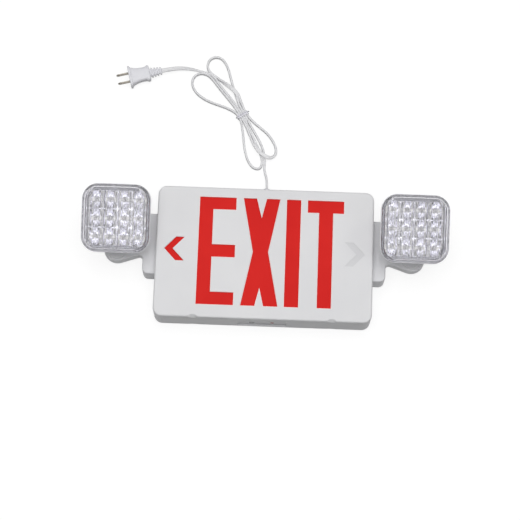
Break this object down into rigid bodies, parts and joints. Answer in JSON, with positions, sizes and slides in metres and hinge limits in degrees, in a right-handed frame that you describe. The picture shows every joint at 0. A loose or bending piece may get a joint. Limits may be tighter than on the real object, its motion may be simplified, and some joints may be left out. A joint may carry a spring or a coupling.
{
  "type": "emergency exit light",
  "caption": "White wall-mounted exit sign with a red legend and a swivelling square lamp head on an arm at each side, lying on its back with its tied flat twin cord and two-blade plug.",
  "frame": {"origin": "middle of the sign's flat back face, which is what it lies on", "axes": "+Z out of the legend face, +Y to the sign's top edge, +X to the legend's right-hand side"},
  "size_m": [0.502, 0.3988, 0.1022],
  "materials": {
    "white_abs": "moulded, fine satin",
    "white_panel": "matt white",
    "red_acrylic": "red, smooth",
    "circuit_board": "green solder mask",
    "led_body": "small clear package",
    "transformer_iron": "varnished laminations",
    "capacitor_can": "sleeved",
    "black_plastic": "matt",
    "terminal_plastic": "matt green",
    "button_plastic": "smooth",
    "light_pipe": "translucent red",
    "battery_sleeve": "shrink sleeve",
    "zinc_steel": "zinc plated",
    "clear_lens": "clear, smooth",
    "bright_reflector": "metallised, mirror bright",
    "white_vinyl": "soft satin",
    "tie_plastic": "matt",
    "blade_brass": "nickel plated, worn"
  },
  "bodies": {
    "sign": {"back_housing": "white_abs", "battery_pack": "battery_sleeve", "battery_strap": "zinc_steel", "board_screws": "zinc_steel", "capacitors": "capacitor_can", "charge_light": "light_pipe", "charger_board": "circuit_board", "cord_bushing": "white_vinyl", "cord_hank": "white_vinyl", "cord_lead": "white_vinyl", "cord_tail": "white_vinyl", "cord_tie": "tie_plastic", "face_plate": "white_abs", "left_arm_cover": "white_abs", "left_bracket": "white_abs", "left_bracket_screws": "zinc_steel", "left_swivel_washer": "zinc_steel", "legend_diffuser": "red_acrylic", "legend_lamps": "led_body", "lower_legend_board": "circuit_board", "panel_screws": "zinc_steel", "plug_blades": "blade_brass", "plug_body": "white_vinyl", "reflector_panel": "white_panel", "relay_and_chip": "black_plastic", "right_arm_cover": "white_abs", "right_bracket": "white_abs", "right_bracket_screws": "zinc_steel", "right_swivel_washer": "zinc_steel", "strap_screws": "zinc_steel", "terminal_block": "terminal_plastic", "test_switch": "black_plastic", "transformer": "transformer_iron", "upper_legend_board": "circuit_board"},
    "button": {"test_button": "button_plastic"},
    "right_swivel": {"right_swivel_base": "white_abs", "right_swivel_clip": "zinc_steel", "right_hinge_bolt": "zinc_steel", "right_hinge_nut": "zinc_steel"},
    "right_head": {"right_lamp_shell": "white_abs", "right_lamp_lens": "clear_lens", "right_lamp_reflector": "bright_reflector", "right_lamp_board": "circuit_board", "right_lamp_lights": "led_body"},
    "left_swivel": {"left_swivel_base": "white_abs", "left_swivel_clip": "zinc_steel", "left_hinge_bolt": "zinc_steel", "left_hinge_nut": "zinc_steel"},
    "left_head": {"left_lamp_shell": "white_abs", "left_lamp_lens": "clear_lens", "left_lamp_reflector": "bright_reflector", "left_lamp_board": "circuit_board", "left_lamp_lights": "led_body"}
  },
  "joints": [
    {"name": "right_pan", "type": "hinge", "parent": "sign", "child": "right_swivel", "pos_m": [0.204, 0.004, 0.032], "axis": [0, 0, -1], "range_deg": [-90, 180]},
    {"name": "right_tilt", "type": "hinge", "parent": "right_swivel", "child": "right_head", "pos_m": [0.204, 0.004, 0.041], "axis": [1, 0, 0], "range_deg": [-13, 75]},
    {"name": "left_pan", "type": "hinge", "parent": "sign", "child": "left_swivel", "pos_m": [-0.204, 0.004, 0.032], "axis": [0, 0, 1], "range_deg": [-90, 180]},
    {"name": "left_tilt", "type": "hinge", "parent": "left_swivel", "child": "left_head", "pos_m": [-0.204, 0.004, 0.041], "axis": [1, 0, 0], "range_deg": [-13, 75]},
    {"name": "button_press", "type": "slide", "parent": "sign", "child": "button", "axis": [0, 1, 0], "range_m": [0, 0.0015], "stiffness_N_per_m": 500}
  ]
}
